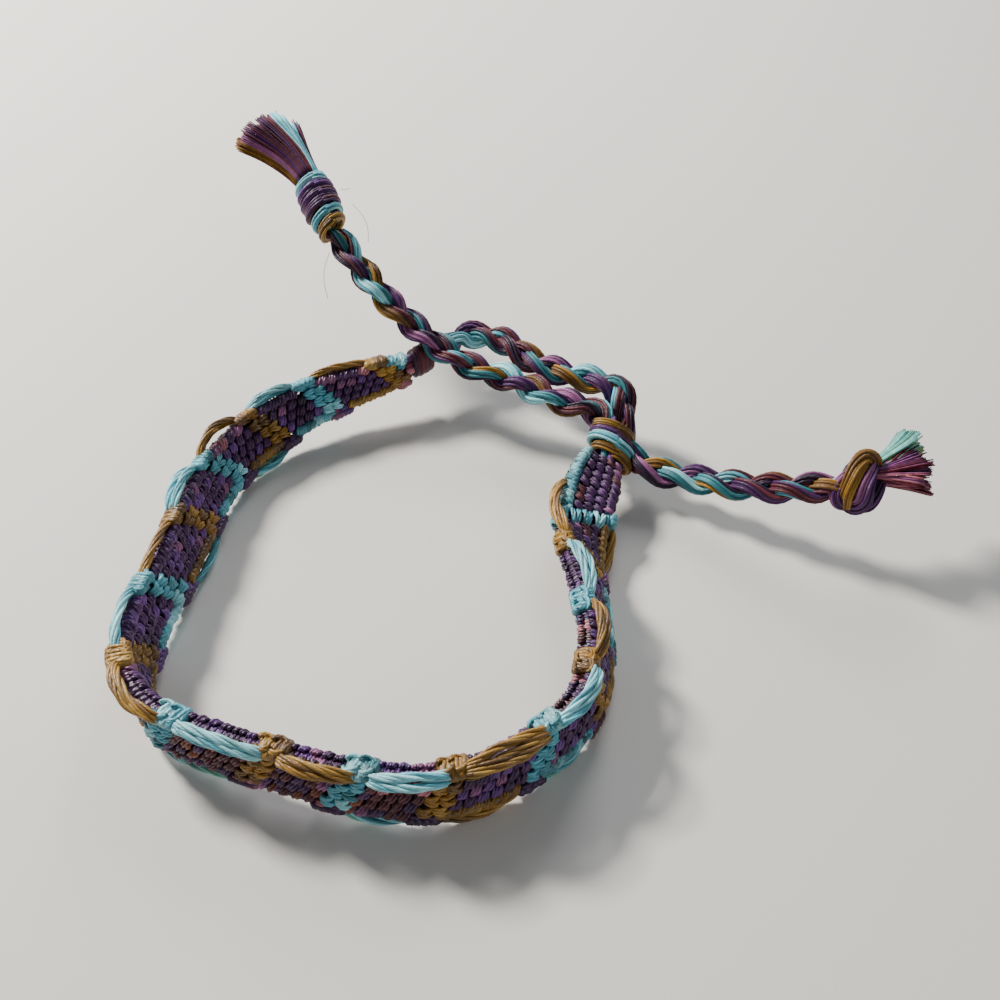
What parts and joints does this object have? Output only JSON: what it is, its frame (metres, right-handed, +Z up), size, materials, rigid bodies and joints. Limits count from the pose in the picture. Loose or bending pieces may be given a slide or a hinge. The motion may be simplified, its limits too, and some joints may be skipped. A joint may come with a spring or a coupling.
{
  "type": "friendship bracelet",
  "caption": "Knotted thread band with slanted bars, dark blocks and loose edge floats, closed by two braided sliding ties with knots and tassels, lying as an open loop.",
  "frame": {"origin": "middle of the footprint, on the surface that the band's lower edge rests on", "axes": "+X towards the tassel of the right tie, the longest way; +Y away from the viewer, towards the tassel of the left tie; +Z up"},
  "size_m": [0.0934, 0.0924, 0.0292],
  "materials": {
    "plum_thread": "satin cotton embroidery thread, dark plum",
    "aqua_thread": "satin cotton embroidery thread, aqua",
    "gold_thread": "satin cotton embroidery thread, ochre gold",
    "maroon_thread": "satin cotton embroidery thread, dark maroon",
    "mauve_thread": "satin cotton embroidery thread, mauve"
  },
  "bodies": {
    "root": {"woven_band": "plum_thread", "upper_floats_aqua": "aqua_thread", "upper_floats_gold": "gold_thread", "lower_floats_aqua": "aqua_thread", "lower_floats_gold": "gold_thread", "left_neck_wrap": "maroon_thread", "right_neck_wrap": "gold_thread", "right_tie_strand_1": "aqua_thread", "right_tie_strand_2": "plum_thread", "right_tie_strand_3": "gold_thread", "right_tie_knot": "gold_thread", "right_tie_tassel": "mauve_thread", "left_tie_strand_1": "plum_thread", "left_tie_strand_2": "aqua_thread", "left_tie_strand_3": "gold_thread", "left_tie_knot": "plum_thread", "left_tie_tassel": "mauve_thread"}
  },
  "joints": []
}
